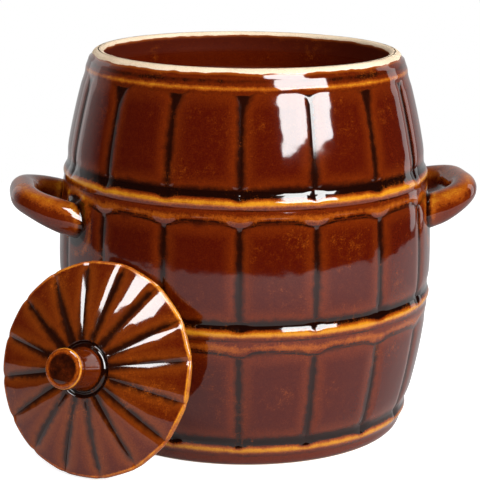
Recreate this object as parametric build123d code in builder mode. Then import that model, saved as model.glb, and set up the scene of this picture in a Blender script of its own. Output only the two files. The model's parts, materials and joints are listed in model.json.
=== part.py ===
from build123d import *
import os
from math import cos, sin, tan, radians, sqrt, hypot

# A stoneware pickle jar in the shape of a stave barrel, with a water gutter sunk in its neck.
# Millimetres and degrees. +Z is up, the origin is the centre of the foot and -Y is the front.
# The lid stands on the ground, leaning on the belly, with its knob facing away from the jar.

os.makedirs("parts", exist_ok=True)

# Crock: a two-arc barrel outline, widest at the belly
crock_height = 260.0
belly_height = 117.0
belly_radius = 128.8
foot_inset = 18.9
rim_inset = 23.2
wall = 8.5
floor_thickness = 12.0
floor_round = 14.0
foot_chamfer = 1.5
rim_outer_round_share = 0.6
rim_inner_round_share = 0.3

# Staves: upright pillows between the hoops, with sunk grooves where they meet
stave_count = 16
stave_proud = 0.3
stave_crown = 3.0
groove_depth = 2.6
stave_end_sink = 3.6
stave_shoulder_sink = 1.3
stave_end_length = 13.0
stave_peak_length = 24.0
shoulder_length_share = 0.35

# Hoops: a rounded ridge over a lesser one, at shares of the crock's height
hoop_height_shares = (0.363, 0.686)
hoop_proud = 0.8
hoop_half_width = 4.0
hoop_band_width = 6.5
hoop_band_inset = 1.2
hoop_band_proud = 0.3
foot_hoop_height = 12.0
rim_band_width = 13.0
rim_band_slope = 2.4

# Land: the ledge inside the neck that carries the gutter ring
land_below_rim = 32.0
land_width = 6.0
land_depth = 5.0
land_slope_depth = 9.0

# Lid: a ribbed cone with a flat seat round its underside
lid_radius = 70.1
lid_edge = 3.5
lid_rise = 16.3
lid_thickness = 5.5
lid_edge_round = 1.4
sector_count = 16
sector_turn = 1.25
sector_crown = 0.6
sector_groove_depth = 2.1
rim_groove_half_width = 1.3
hub_groove_half_width = 1.9
lid_side_gap = 3.0

# Mouth: the gutter ring's collar, and the lid's skirt that goes round it into the trough
mouth_radius = 43.0
collar_wall = 4.0
collar_rise = 2.5
seal_gap = 1.5
skirt_wall = 4.5
skirt_drop = 4.5
trough_depth = 7.5
trough_slope = 2.0
shoulder_rise = 4.0
shoulder_thickness = 6.0
ring_clearance = 0.3
ring_round = 1.8

# Handles: bent bars whose flared roots are luted to the staves under the upper hoop
handle_below_hoop = 24.36
handle_bar_radius = 9.5
handle_root_radius = 13.5
handle_reach = 36.4
handle_half_spread = 38.5
handle_bend = 35.0
handle_tilt = 20.0
handle_root_depth = 18.0
handle_flare_share = 0.26

# Knob: a tapered neck under a domed head, in a ring groove at the lid's centre
knob_base_radius = 14.5
knob_neck_radius = 11.8
knob_head_radius = 13.2
knob_neck_length = 18.5
knob_waist = 0.5
knob_head_thickness = 6.5
knob_head_round = 2.4
knob_dome = 1.2
moat_width = 3.6
moat_depth = 1.6

# Where the lid leans: the way it faces, its lean and its bearing, left of the front
lid_turn = 36.75
lid_lean = 15.8
lid_bearing = 48.6
rest_gap = 0.3

# Bearing of the jar's front, where the first stave stands
front_bearing = -90.0

# How far a cutting or joining shape runs past the surface it must cross
overrun = 1.0


def arc_drop(rise, whole_rise, whole_drop):
    """Inward fall at a rise along an arc that starts upright and ends at whole_rise, whole_drop."""
    bend = (whole_rise**2 + whole_drop**2) / (2 * whole_drop)
    return bend - sqrt(bend**2 - rise**2)


def barrel_radius(height):
    """Radius of the smooth barrel outline at a height."""
    if height < belly_height:
        return belly_radius - arc_drop(belly_height - height, belly_height, foot_inset)
    return belly_radius - arc_drop(height - belly_height, crock_height - belly_height, rim_inset)


def barrel_profile(bottom, inset):
    """Lines of the half outline from a bottom height to the rim, set inwards by an inset."""
    belly = (belly_radius - inset, belly_height)
    low = (barrel_radius(bottom) - inset, bottom)
    high = (barrel_radius(crock_height) - inset, crock_height)
    Line((0, bottom), low)
    TangentArc(belly, low, tangent=(0, -1))
    TangentArc(belly, high, tangent=(0, 1))
    Polyline(high, (0, crock_height), (0, bottom))


def on_circle(radius, angle):
    """Point at a radius and an angle in degrees."""
    return (radius * cos(radians(angle)), radius * sin(radians(angle)))


def stave_ring(height, sink):
    """Closed ring of pillow arcs, one for each stave, drawn in by a sink."""
    crest = barrel_radius(height) + stave_proud - sink
    valley = crest - stave_crown
    half_step = 180 / stave_count
    for stave in range(stave_count):
        middle = front_bearing + 2 * half_step * stave
        ThreePointArc(
            on_circle(valley, middle - half_step),
            on_circle(crest, middle),
            on_circle(valley, middle + half_step),
        )


def stave_heights(bottom, top, peak):
    """Heights of a tier's stave rings, each with how far its pillows are drawn in there."""
    full = bottom + stave_end_length
    shoulder = stave_end_length * shoulder_length_share
    return [
        (bottom, stave_end_sink),
        (bottom + shoulder, stave_shoulder_sink),
        (full, 0),
        ((full + top - peak) / 2, 0),
        (top - peak, 0),
        (top - peak * shoulder_length_share, stave_shoulder_sink),
        (top, stave_end_sink),
    ]


def hoop_profile(crest_height, band_bottom):
    """Half section of a hoop: a rounded ridge with a lesser one under it."""
    low = crest_height - hoop_half_width
    high = crest_height + hoop_half_width
    middle = (low + band_bottom) / 2
    root = min(barrel_radius(high), barrel_radius(band_bottom)) - groove_depth - overrun
    band = (barrel_radius(low) - hoop_band_inset, low)
    band_foot = (barrel_radius(band_bottom) - hoop_band_inset, band_bottom)
    shoulder = (barrel_radius(high) - hoop_band_inset, high)
    pool = (root, high + hoop_half_width / 2)
    ThreePointArc(band, (barrel_radius(crest_height) + hoop_proud, crest_height), shoulder)
    Polyline(shoulder, pool, (root, band_bottom), band_foot)
    ThreePointArc(band_foot, (barrel_radius(middle) + hoop_band_proud, middle), band)


def lid_top(radius):
    """Height of the lid's ribs above its seat at a radius."""
    slope = (lid_rise - lid_edge) / (lid_radius - moat_radius)
    return lid_edge + slope * (lid_radius - radius)


def leaning_lid(distance):
    """Plane of the lid's seat at a distance from the jar's axis, its normal along the knob."""
    lean = radians(lid_lean)
    turn = radians(lid_turn)
    bearing = radians(lid_bearing)
    rounding = lid_edge_round
    height = rest_gap + (lid_radius - rounding) * cos(lean) + rounding * (1 - sin(lean))
    return Plane(
        origin=(-distance * sin(bearing), -distance * cos(bearing), height),
        x_dir=(cos(turn), -sin(turn), 0),
        z_dir=(-cos(lean) * sin(turn), -cos(lean) * cos(turn), sin(lean)),
    )


def lean_gap(distance):
    """Least gap between the staves and the lid's rounded edge and skirt at a distance."""
    plane = leaning_lid(distance)
    circles = [(skirt_radius, -skirt_drop)]
    for turn in (0, 30, 60, 90):
        across, up = on_circle(lid_edge_round, turn)
        circles.append((lid_radius - lid_edge_round + across, lid_edge_round - up))
    gaps = []
    for radius, height in circles:
        for angle in range(360):
            point = plane.from_local_coords((*on_circle(radius, angle), height))
            gaps.append(hypot(point.X, point.Y) - barrel_radius(point.Z) - stave_proud)
    return min(gaps)


hoop_heights = [share * crock_height for share in hoop_height_shares]
rim_band_bottom = crock_height - rim_band_width
band_drop = hoop_half_width + hoop_band_width
tier_bottoms = [height + hoop_half_width for height in [foot_hoop_height] + hoop_heights]
tier_tops = [height - band_drop for height in hoop_heights] + [rim_band_bottom]
tier_peaks = [stave_end_length] * len(hoop_heights) + [stave_peak_length]
handle_height = hoop_heights[-1] - handle_below_hoop

land_height = crock_height - land_below_rim
collar_radius = mouth_radius + collar_wall
skirt_inner_radius = collar_radius + seal_gap
skirt_radius = skirt_inner_radius + skirt_wall
seat_height = land_height + shoulder_thickness - shoulder_rise
shoulder_height = land_height + shoulder_thickness
ring_radius = barrel_radius(shoulder_height) - wall - ring_clearance
moat_radius = knob_base_radius + moat_width

lid_distance = belly_radius + lid_radius * sin(radians(lid_lean))
for attempt in range(20):
    lid_distance += rest_gap - lean_gap(lid_distance)
lid_plane = leaning_lid(lid_distance)
lid_axis = Axis(lid_plane.origin, lid_plane.z_dir)
lid_section = Plane(lid_plane.origin, x_dir=lid_plane.x_dir, z_dir=-lid_plane.y_dir)

# The barrel's outer form, solid, from which the crock is hollowed and the handles are fitted
with BuildPart() as barrel_form:
    with BuildSketch(Plane.XZ):
        with BuildLine():
            barrel_profile(0, groove_depth)
        make_face()
    revolve(axis=Axis.Z)
    for tier in zip(tier_bottoms, tier_tops, tier_peaks):
        for height, sink in stave_heights(*tier):
            with BuildSketch(Plane.XY.offset(height)):
                with BuildLine():
                    stave_ring(height, sink)
                make_face()
        loft()
    with BuildSketch(Plane.XZ):
        for hoop_height in hoop_heights:
            with BuildLine():
                hoop_profile(hoop_height, hoop_height - band_drop)
            make_face()
        with BuildLine():
            hoop_profile(foot_hoop_height, 0)
        make_face()
    revolve(axis=Axis.Z)
    with BuildSketch(Plane.XZ):
        with BuildLine():
            rim_root = (barrel_radius(crock_height) - wall / 2, crock_height)
            rim_crest = (barrel_radius(crock_height), crock_height)
            band_edge = (barrel_radius(rim_band_bottom), rim_band_bottom)
            band_root = (rim_root[0], rim_band_bottom - rim_band_slope)
            Line(rim_root, rim_crest)
            Line(rim_crest, band_edge)
            Line(band_edge, band_root)
            Line(band_root, rim_root)
        make_face()
    revolve(axis=Axis.Z)

# Crock: hollow, with a land for the gutter ring and a rounded bare rim
with BuildPart() as crock_body:
    add(barrel_form.part)
    with BuildSketch(Plane.XZ):
        with BuildLine():
            barrel_profile(floor_thickness, wall)
        make_face()
        floor_corner = vertices().group_by(Axis.Y)[0].sort_by(Axis.X)[-1]
        fillet(floor_corner, radius=floor_round)
    revolve(axis=Axis.Z, mode=Mode.SUBTRACT)
    with BuildSketch(Plane.XZ):
        with BuildLine():
            land_wall = barrel_radius(land_height) - wall
            land_foot = land_height - land_depth - land_slope_depth
            Polyline(
                (land_wall + overrun, land_height),
                (land_wall - land_width, land_height),
                (land_wall - land_width, land_height - land_depth),
                (barrel_radius(land_foot) - wall + overrun, land_foot),
                close=True,
            )
        make_face()
    revolve(axis=Axis.Z)
    rim_face = crock_body.faces().sort_by(Axis.Z)[-1]
    fillet(rim_face.outer_wire().edges(), radius=wall * rim_outer_round_share)
    rim_face = crock_body.faces().filter_by(Plane.XY).sort_by(Axis.Z)[-1]
    fillet(rim_face.inner_wires()[0].edges(), radius=wall * rim_inner_round_share)
    foot_face = crock_body.faces().sort_by(Axis.Z)[0]
    chamfer(foot_face.outer_wire().edges(), length=foot_chamfer)

# Gutter ring: a collar round the mouth, a trough and a shoulder that is luted on the land
with BuildPart() as gutter_ring:
    with BuildSketch(Plane.XZ):
        with BuildLine():
            trough_floor = seat_height - trough_depth
            trough_radius = skirt_radius + seal_gap
            Polyline(
                (mouth_radius, trough_floor - collar_wall),
                (mouth_radius, seat_height + collar_rise),
                (collar_radius, seat_height + collar_rise),
                (collar_radius, trough_floor),
                (trough_radius, trough_floor),
                (trough_radius + trough_slope, seat_height),
                (lid_radius + lid_side_gap, seat_height),
                (ring_radius, shoulder_height),
                (ring_radius, land_height),
                (land_wall - land_width - overrun, land_height),
                (lid_radius + lid_side_gap, seat_height - shoulder_thickness),
                (trough_radius + trough_slope + collar_wall, seat_height - shoulder_thickness),
                (trough_radius + collar_wall, trough_floor - collar_wall),
                close=True,
            )
        make_face()
        fillet(vertices().filter_by_position(Axis.X, 0, trough_radius), radius=ring_round)
    revolve(axis=Axis.Z)

# Handles: a bar bent in a tilted plane, flared at its roots and cut to the staves' surface
section_shares = (0, handle_flare_share, 1 / 2, 1 - handle_flare_share, 1)
section_radii = [handle_root_radius] + [handle_bar_radius] * 3 + [handle_root_radius]
handle_out = (cos(radians(handle_tilt)), 0, sin(radians(handle_tilt)))
handle_up = (-sin(radians(handle_tilt)), 0, cos(radians(handle_tilt)))
handle_plane = Plane((barrel_radius(handle_height), 0, handle_height), x_dir=handle_out, z_dir=handle_up)
with BuildPart() as handle_right:
    with BuildLine(handle_plane) as bar_line:
        FilletPolyline(
            (-handle_root_depth, -handle_half_spread),
            (handle_reach - handle_bar_radius, -handle_half_spread),
            (handle_reach - handle_bar_radius, handle_half_spread),
            (-handle_root_depth, handle_half_spread),
            radius=handle_bend,
        )
    for share, radius in zip(section_shares, section_radii):
        with BuildSketch(Plane(bar_line.line @ share, z_dir=bar_line.line % share)):
            Circle(radius)
    sweep(multisection=True)
    add(barrel_form.part, mode=Mode.SUBTRACT)

with BuildPart() as handle_left:
    mirror(handle_right.part, about=Plane.YZ)

# Lid cover: ribbed sectors round a flat hub, with a rounded edge and a hollow underside
with BuildPart() as lid_cover:
    for sector in range(sector_count):
        heading = sector_turn + 360 / sector_count * sector
        for radius, groove in (
            (knob_base_radius - overrun, hub_groove_half_width),
            (lid_radius + overrun, rim_groove_half_width),
        ):
            half = radius * tan(radians(180 / sector_count))
            crest = lid_top(radius)
            spot = lid_plane.from_local_coords((*on_circle(radius, heading), 0))
            out = lid_plane.from_local_coords((*on_circle(radius + overrun, heading), 0)) - spot
            with BuildSketch(Plane(spot, x_dir=lid_plane.z_dir.cross(out), z_dir=out)):
                with BuildLine():
                    Polyline((half, crest - sector_groove_depth), (half, 0), (-half, 0))
                    Polyline(
                        (-half, 0),
                        (-half, crest - sector_groove_depth),
                        (-half + groove, crest - sector_crown),
                    )
                    ThreePointArc(
                        (-half + groove, crest - sector_crown),
                        (0, crest),
                        (half - groove, crest - sector_crown),
                    )
                    Line((half - groove, crest - sector_crown), (half, crest - sector_groove_depth))
                make_face()
        loft(ruled=True)
    with BuildSketch(lid_section):
        with BuildLine():
            Polyline(
                (0, 0),
                (lid_radius, 0),
                (lid_radius, lid_edge),
                (moat_radius, lid_rise),
                (0, lid_rise),
                close=True,
            )
        make_face()
        edge_corners = vertices().group_by(Axis.X)[-1]
        fillet(edge_corners, radius=lid_edge_round)
    revolve(axis=lid_axis, mode=Mode.INTERSECT)
    with BuildSketch(lid_section):
        with BuildLine():
            hub_radius = knob_base_radius
            Polyline((0, 0), (hub_radius, 0), (hub_radius, lid_rise), (0, lid_rise), close=True)
        make_face()
    revolve(axis=lid_axis)
    with BuildSketch(lid_section):
        with BuildLine():
            moat_middle = knob_base_radius + moat_width / 2
            ThreePointArc(
                (knob_base_radius, lid_rise),
                (moat_middle, lid_rise - moat_depth),
                (moat_radius, lid_rise),
            )
            Polyline(
                (moat_radius, lid_rise),
                (moat_radius, lid_rise + overrun),
                (knob_base_radius, lid_rise + overrun),
                (knob_base_radius, lid_rise),
            )
        make_face()
    revolve(axis=lid_axis, mode=Mode.SUBTRACT)
    with BuildSketch(lid_section):
        with BuildLine():
            Polyline(
                (0, -overrun),
                (skirt_inner_radius, -overrun),
                (skirt_inner_radius, lid_top(skirt_inner_radius) - lid_thickness),
                (moat_radius, lid_rise - lid_thickness),
                (0, lid_rise - lid_thickness),
                close=True,
            )
        make_face()
    revolve(axis=lid_axis, mode=Mode.SUBTRACT)

# Lid skirt: the ring under the lid that stands in the water round the collar
with BuildPart() as lid_skirt:
    with BuildSketch(lid_section):
        with BuildLine():
            Polyline(
                (skirt_inner_radius, 0),
                (skirt_radius, 0),
                (skirt_radius, -skirt_drop),
                (skirt_inner_radius, -skirt_drop),
                close=True,
            )
        make_face()
        fillet(vertices().group_by(Axis.Y)[0], radius=lid_edge_round)
    revolve(axis=lid_axis)

# Knob: turned in one piece and luted on the hub
with BuildPart() as lid_knob:
    with BuildSketch(lid_section):
        with BuildLine():
            neck_top = lid_rise + knob_neck_length
            head_top = neck_top + knob_head_thickness
            face_radius = knob_head_radius - knob_head_round
            waist_radius = (knob_base_radius + knob_neck_radius) / 2 - knob_waist
            Line((0, lid_rise), (knob_base_radius, lid_rise))
            ThreePointArc(
                (knob_base_radius, lid_rise),
                (waist_radius, lid_rise + knob_neck_length / 2),
                (knob_neck_radius, neck_top),
            )
            ThreePointArc(
                (knob_neck_radius, neck_top),
                (knob_head_radius, neck_top + knob_head_thickness / 2),
                (face_radius, head_top),
            )
            TangentArc((0, head_top + knob_dome), (face_radius, head_top), tangent=(1, 0))
            Line((0, head_top + knob_dome), (0, lid_rise))
        make_face()
    revolve(axis=lid_axis)

pieces = {
    "crock_body": crock_body,
    "gutter_ring": gutter_ring,
    "handle_left": handle_left,
    "handle_right": handle_right,
    "lid_cover": lid_cover,
    "lid_skirt": lid_skirt,
    "lid_knob": lid_knob,
}
for name, piece in pieces.items():
    piece.part.label = name
    export_step(piece.part, f"parts/{name}.step")
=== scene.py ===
import json
from math import atan, cos, pi, radians, sin

import bmesh
import bpy
import numpy as np
from mathutils import Matrix, Vector


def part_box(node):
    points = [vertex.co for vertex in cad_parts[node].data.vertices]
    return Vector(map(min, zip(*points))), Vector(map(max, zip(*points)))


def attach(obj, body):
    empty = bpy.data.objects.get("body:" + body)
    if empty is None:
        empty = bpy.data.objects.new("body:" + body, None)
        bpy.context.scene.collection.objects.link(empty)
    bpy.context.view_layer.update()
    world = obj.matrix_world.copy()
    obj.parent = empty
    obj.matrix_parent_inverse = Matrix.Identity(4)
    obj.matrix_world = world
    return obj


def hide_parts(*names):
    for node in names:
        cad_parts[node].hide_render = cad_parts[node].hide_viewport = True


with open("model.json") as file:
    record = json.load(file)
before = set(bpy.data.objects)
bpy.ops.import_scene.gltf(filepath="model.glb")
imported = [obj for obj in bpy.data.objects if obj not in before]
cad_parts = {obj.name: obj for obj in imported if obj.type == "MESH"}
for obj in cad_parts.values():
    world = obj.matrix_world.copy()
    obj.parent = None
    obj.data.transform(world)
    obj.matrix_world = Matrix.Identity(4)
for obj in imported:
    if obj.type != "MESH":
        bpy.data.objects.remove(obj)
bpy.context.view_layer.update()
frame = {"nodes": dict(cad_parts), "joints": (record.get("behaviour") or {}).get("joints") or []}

# Everything is in metres, apart from masks and tables that are said to be in millimetres
MM = 0.001

# Barrel outline, as the frame's crock has it
crock_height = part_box("crock_body")[1][2]
belly_height = 117.0 * MM
belly_radius = 128.8 * MM
foot_inset = 18.9 * MM
rim_inset = 23.2 * MM
wall = 8.5 * MM
floor_thickness = 12.0 * MM
floor_round = 14.0 * MM
foot_chamfer = 1.5 * MM
lip_outer_round = 0.6 * wall
lip_inner_round = 0.3 * wall
inner_wall_start = crock_height - 6.0 * MM
land_height = crock_height - 32.0 * MM
land_width = 6.0 * MM
land_depth = 5.0 * MM
land_slope_depth = 9.0 * MM

# Staves and hoops
stave_count = 16
hoop_heights = (0.363 * crock_height, 0.686 * crock_height)
foot_hoop_height = 12.0 * MM
crests = (foot_hoop_height, *hoop_heights)
rim_line_height = crock_height - 12.0 * MM
groove_depth = 1.25 * MM
groove_half_width = 0.1 * MM
flank_power = 1.5
panel_edge_width = 9.0 * MM
panel_above_hoop = 7.0 * MM
panel_below_hoop = 11.5 * MM
panel_below_rim_line = 1.5 * MM
panel_low_corner = 2.0 * MM
panel_top_drop = 2.6 * MM
panel_side_reach = 8.0 * MM
panel_end_reach = 9.0 * MM
panel_end_flatness = 0.82
top_tier_lift = 4.0 * MM
lower_tier_lift = 1.8 * MM
lift_growth = 1.6
panel_gap_depth = 0.8 * MM
panel_gap_slope = 3.0 * MM
trough_depth = 0.8 * MM
trough_above_hoop = 6.0 * MM
trough_half_widths = (3.0 * MM, 7.0 * MM)
dimple_depth = 1.1 * MM
dimple_width = 7.0 * MM
dimple_above_hoop = 3.8 * MM
dimple_half_height = 4.4 * MM
band_dip = 2.8 * MM
band_dip_start = 5.0 * MM
band_blend = 0.7 * MM
gather_width = 9.0 * MM
gather_half_width = 5.0 * MM
band_glaze_blend = 0.5 * MM
band_glaze_edge = 6.0 * MM
glaze_line_height = crock_height - 2.7 * MM
inner_glaze_line_height = crock_height - 2.4 * MM

# Reliefs in millimetres: height from a line round the crock, and how far it stands off the outline
crest_relief = (
    (-4.2, -0.2), (-3, 0.05), (-1.5, 0.6), (0, 0.85), (1, 0.7), (2, 0.3), (3, -0.1),
    (4, -0.5), (5, -0.9), (6, -1.25), (7, -1.5), (9, -2.4), (11, -3.6),
)
hoop_relief = (
    (-21, -3.4), (-17.5, -2.2), (-15, -1.4), (-13, -0.9), (-11.5, -0.55), (-10, -0.15),
    (-8, 0.1), (-6.3, 0.0), (-5, -0.2), *crest_relief,
)
foot_relief = ((-12, -1.4), (-10, -0.5), (-8, -0.1), (-6, -0.2), *crest_relief)
rim_relief = (
    (-9, -3.0), (-6, -1.8), (-3.5, -0.9), (-1.5, -0.2), (0, 0.2), (1.5, 0.15), (5, -0.05),
    (9, -0.15), (12, -0.3),
)

# Handles
handle_height = 154.0 * MM
handle_bar_radius = 9.5 * MM
handle_root_radius = 11.2 * MM
handle_reach = 36.4 * MM
handle_half_spread = 38.5 * MM
handle_bend = 30.0 * MM
handle_tilt = radians(20.0)
handle_root_depth = 18.0 * MM
handle_flare_length = 26.0 * MM
handle_flare_power = 1.5
handle_unevenness = 0.012
handle_ripple_step = 0.41

# Lid and knob
lid_radius = 70.1 * MM
lid_edge = 3.5 * MM
lid_rise = 16.3 * MM
lid_thickness = 5.5 * MM
lid_edge_round = 1.4 * MM
sector_count = 16
half_sector = pi / sector_count
sector_turn = radians(1.25)
lid_bow = 1.4 * MM
sector_groove_depth = 1.1 * MM
sector_edge_width = 6.5 * MM
rim_groove_half_width = 0.3 * MM
hub_groove_half_width = 1.5 * MM
rim_notch_depth = 0.6 * MM
rim_notch_half_width = 2.2 * MM
rim_straightness = 0.75
rim_straight_start = 0.8 * lid_radius
hub_settle_width = 2.2 * MM
rim_settle_width = 1.6 * MM
sector_glaze_edge = 0.9 * MM
rim_glaze_edge_gain = 3.0 * MM
rim_glaze_start, rim_glaze_span = 0.86, 0.1
lid_edge_ridge = 0.7
lid_looseness = 0.5

# Shares of a groove's depth and width at the hub, and what the depth gains from there to the rim
hub_depth_share, hub_width_share, depth_share_gain = 0.12, 0.6, 0.6

# The power that the pillows grow by, and the shares of the relief left at the hub and at the rim
crown_growth = 1.5
hub_settle_share, rim_settle_share = 0.35, 0.85

# Skirt and knob
skirt_inner_radius = 48.5 * MM
skirt_drop = 4.5 * MM
knob_base_radius = 14.5 * MM
knob_neck_radius = 11.8 * MM
knob_head_radius = 13.2 * MM
knob_neck_length = 18.5 * MM
knob_waist = 0.5 * MM
knob_head_thickness = 6.5 * MM
knob_head_round = 2.4 * MM
knob_head_half_turn = 0.42
knob_dome = 1.2 * MM
knob_seat_depth = 0.3 * MM
knob_head_power = 0.6
knob_head_inset = 0.1 * MM
moat_width = 3.6 * MM
moat_depth = 1.6 * MM
moat_glaze_width = 0.6 * MM
moat_radius = knob_base_radius + moat_width

# Streaks where the glaze thins or pools, and a few of painted shade or painted dark reflection:
# strength, place and half width. Places are millimetres over a line round the crock, with what is
# added at a groove or in the band's dip.
rim_line_ridge = (0.75, 0.2, 1.5)
lip_ridge = (0.25, -3.5, 1.5)
pool_under_rim = (0.3, -3.2, 1.3)
pool_over_rim = (0.5, 4.6, 2.2)
hoop_ridge = (1.1, 0.2, 2.3)
# At a groove, the hoop's honey weakens and the pool over it widens: partly glaze gathering where
# the groove meets the hoop, partly a painted dark reflection in the dimple
hoop_ridge_at_groove = (-0.2, -0.9, -0.5)
pool_over_hoop = (1.5, 5.6, 2.1)
pool_and_dark_reflection_at_groove = (0, -1.1, 1.1)
pool_under_hoop = (0.5, -4.4, 0.9)
band_ridge = (0.5, -8.8, 2.4)
band_ridge_in_dip = (0, -0.6, 0.2)
# The dark line under each band is partly glaze pooling and partly painted shadow of the band
pool_and_shadow_under_band = (0.62, -12.8, 1.3)
pool_and_shadow_under_band_in_dip = (0, -1, 0)

# On the crock, places are millimetres from a handle's bar, and on the bar from the crock's wall
ridge_round_root = (0.45, 9.5, 2.2)
# The dark round a root is partly glaze gathering and partly painted shade in the crevice
pool_and_shade_round_root = (1.3, 1.5, 3.6)
root_edge_gap = 1.8
root_edge_reach = 8
root_ridge_fade = 4
bar_root_ridge = (0.6, 3.4, 1.8)
# The dark at a bar's root is partly glaze gathering and partly painted shade in the crevice
bar_root_pool_and_shade = (0.9, -0.5, 1.6)
bar_root_fade = 6
bar_edge_gain = 0.4

# On a bar's top, the place is the sine of a turn. On the lid, places are millimetres from the rim,
# a groove or the moat. On the knob, they are shares of the neck or face, and a turn on the head.
# Honey on a bar's upper side, partly glaze thinning and partly painted light from above
bar_top_thinning_and_painted_light = (0.6, 0.7, 0.45)
lid_rim_ridge = (1.1, 1.0, 1.0)
lid_rim_break = (0.4, 0, 1.2)
lid_rim_dullness = (0.6, 0, 2.0)
moat_pool = (0.8, -0.4, 1.0)
knob_foot_pool = (1, 0, 0.12)
knob_neck_pool = (0.5, 1, 0.07)
knob_head_ridge = (1.2, 0.27 * pi, 0.42)
knob_face_ridge = (0.45, 1, 0.08)
knob_face_pool = 0.62
knob_face_pool_growth = 7

# Points closer than this are merged where seams and poles close
seam_width = 0.02 * MM

# Values of masks, in millimetres
far_from_edge = 9.0
edge_limits = (-1.5, 12)
fully_glazed = -9.0
fully_bare = 6.0
even_foot = 18.0
even_foot_blend = 12.0

# Share of a wedge's half width past which its column counts as the seam
near_seam = 0.999


def bell(value, middle, width):
    """A smooth bump of height 1 round a middle value."""
    return np.exp(-(((value - middle) / width) ** 2))


def streak(value, shape, line=0, change=(0, 0, 0), amount=0):
    """A bell with a strength, a place over a line and a half width, and an amount of change."""
    strength, over, half_width = (plain + extra * amount for plain, extra in zip(shape, change))
    return strength * bell(value, line + over, half_width)


def arc_drop(rise, whole_rise, whole_drop):
    """Inward fall at a rise along an arc that starts upright and ends at whole_rise, whole_drop."""
    bend = (whole_rise**2 + whole_drop**2) / (2 * whole_drop)
    return bend - np.sqrt(np.maximum(bend**2 - rise**2, 0))


def barrel_radius(height):
    """Radius of the smooth barrel outline at a height."""
    low = arc_drop(belly_height - height, belly_height, foot_inset)
    high = arc_drop(height - belly_height, crock_height - belly_height, rim_inset)
    return belly_radius - np.where(height < belly_height, low, high)


def rounded_table(height, table):
    """Relief read from a table of millimetres, averaged over a short way to round its corners."""
    steps, offs = np.array(table).T * MM
    reads = [np.interp(height + shift * MM, steps, offs) for shift in (-0.5, -0.25, 0, 0.25, 0.5)]
    return sum(reads) / len(reads)


def soft_max(a, b, width):
    """The larger of two reliefs, blended over a width where they cross."""
    share = np.clip(0.5 + 0.5 * (a - b) / width, 0, 1)
    return b + (a - b) * share + width * share * (1 - share)


def edge_profile(distance, depth, width, power=2.0):
    """Relief of a groove's flank at a distance from its middle, rounder for a higher power."""
    return -depth * np.clip(1 - distance / width, 0, 1) ** power


def panel_distance(across, height, half_width, bottom, top, left_corner, right_corner):
    """Distance inwards from the outline of a stave's panel, a rectangle with rounded corners."""
    middle = (bottom + top) / 2
    low = height < middle
    corner = np.where(low, panel_low_corner, np.where(across < 0, left_corner, right_corner))
    side = np.abs(across) - half_width + corner
    droop = panel_top_drop * bell(half_width - np.abs(across), 0, gather_width)
    end = np.abs(height - middle) - (top - bottom) / 2 + np.where(low, 0, droop) + corner
    outside = np.hypot(np.maximum(side, 0), np.maximum(end, 0))
    return corner - outside - np.minimum(np.maximum(side, end), 0)


# Helpers that make a wedge from columns and rows
def wedge_columns(half_shares):
    """Shares across a wedge, from -1 at one seam to 1 at the other, closest at the seams."""
    half_shares = np.array(half_shares)
    both = np.concatenate([half_shares - 1, 1 - half_shares, [0]])
    return np.unique(np.round(both, 6))


def arc_points(middle, high, radius, start, end, count):
    """Points of a section on part of a circle, from one turn to another in shares of pi."""
    turns = np.linspace(start, end, count) * pi
    return [(middle + radius * cos(turn), high + radius * sin(turn)) for turn in turns]


def spun(radius, height, angles):
    """Points of rows at a radius and height, turned to each angle."""
    radius, height, angles = np.broadcast_arrays(radius, height, angles)
    return np.stack([radius * np.cos(angles), radius * np.sin(angles), height], -1)


def stacked(parts, values):
    """One mask for a wedge, from a value or an array for each of its parts."""
    shapes = [part.shape[:2] for part in parts]
    return np.concatenate([np.broadcast_to(value, shape) for value, shape in zip(values, shapes)])


def linked(name, data):
    """An object in the scene that holds some data."""
    made = bpy.data.objects.new(name, data)
    bpy.context.collection.objects.link(made)
    return made


def grid_object(name, points, masks):
    """Object from a grid of points, rows by columns, with each mask's value at every point."""
    rows, columns = points.shape[:2]
    index = np.arange(rows * columns).reshape(rows, columns)
    faces = np.stack([index[:-1, :-1], index[:-1, 1:], index[1:, 1:], index[1:, :-1]], -1)
    mesh = bpy.data.meshes.new(name)
    mesh.from_pydata(points.reshape(-1, 3).tolist(), [], faces.reshape(-1, 4).tolist())
    for mask, values in masks.items():
        layer = mesh.attributes.new(mask, "FLOAT", "POINT")
        layer.data.foreach_set("value", np.ascontiguousarray(values, dtype=np.float32).ravel())
    mesh.update()
    return linked(name, mesh)


def outer_rows():
    """Heights of the rows on the crock's outside, close together over hoops and rim."""
    top = crock_height - lip_outer_round
    spans = [(foot_chamfer, top, 4.0 * MM)]
    for crest in crests:
        spans.append((crest - 15 * MM, crest + 13 * MM, 0.95 * MM))
        spans.append((crest - 27 * MM, crest - 15 * MM, 1.6 * MM))
    spans.append((rim_line_height - 22 * MM, rim_line_height - 6 * MM, 1.6 * MM))
    spans.append((rim_line_height - 6 * MM, top, 0.9 * MM))
    rows = [np.arange(max(start, foot_chamfer), end, step) for start, end, step in spans]
    rows = np.sort(np.concatenate(rows))
    return rows[np.append(True, np.diff(rows) > 0.3 * MM)]


stave_rows = outer_rows()[:, None]
stave_columns = wedge_columns(
    [0, 0.03, 0.06, 0.095, 0.13, 0.17, 0.215, 0.265, 0.32, 0.38, 0.45, 0.54, 0.65, 0.8]
)
sector_rows = np.concatenate([
    np.linspace(moat_radius, moat_radius + 4 * MM, 6),
    np.linspace(moat_radius + 6 * MM, lid_radius - 5 * MM, 20),
    np.linspace(lid_radius - 4 * MM, lid_radius - lid_edge_round, 6),
])[:, None]
sector_shares = (sector_rows - moat_radius) / (lid_radius - moat_radius)
sector_columns = wedge_columns([0, 0.045, 0.09, 0.14, 0.2, 0.28, 0.38, 0.52, 0.72, 0.9])
sector_angles = sector_columns * half_sector


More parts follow.
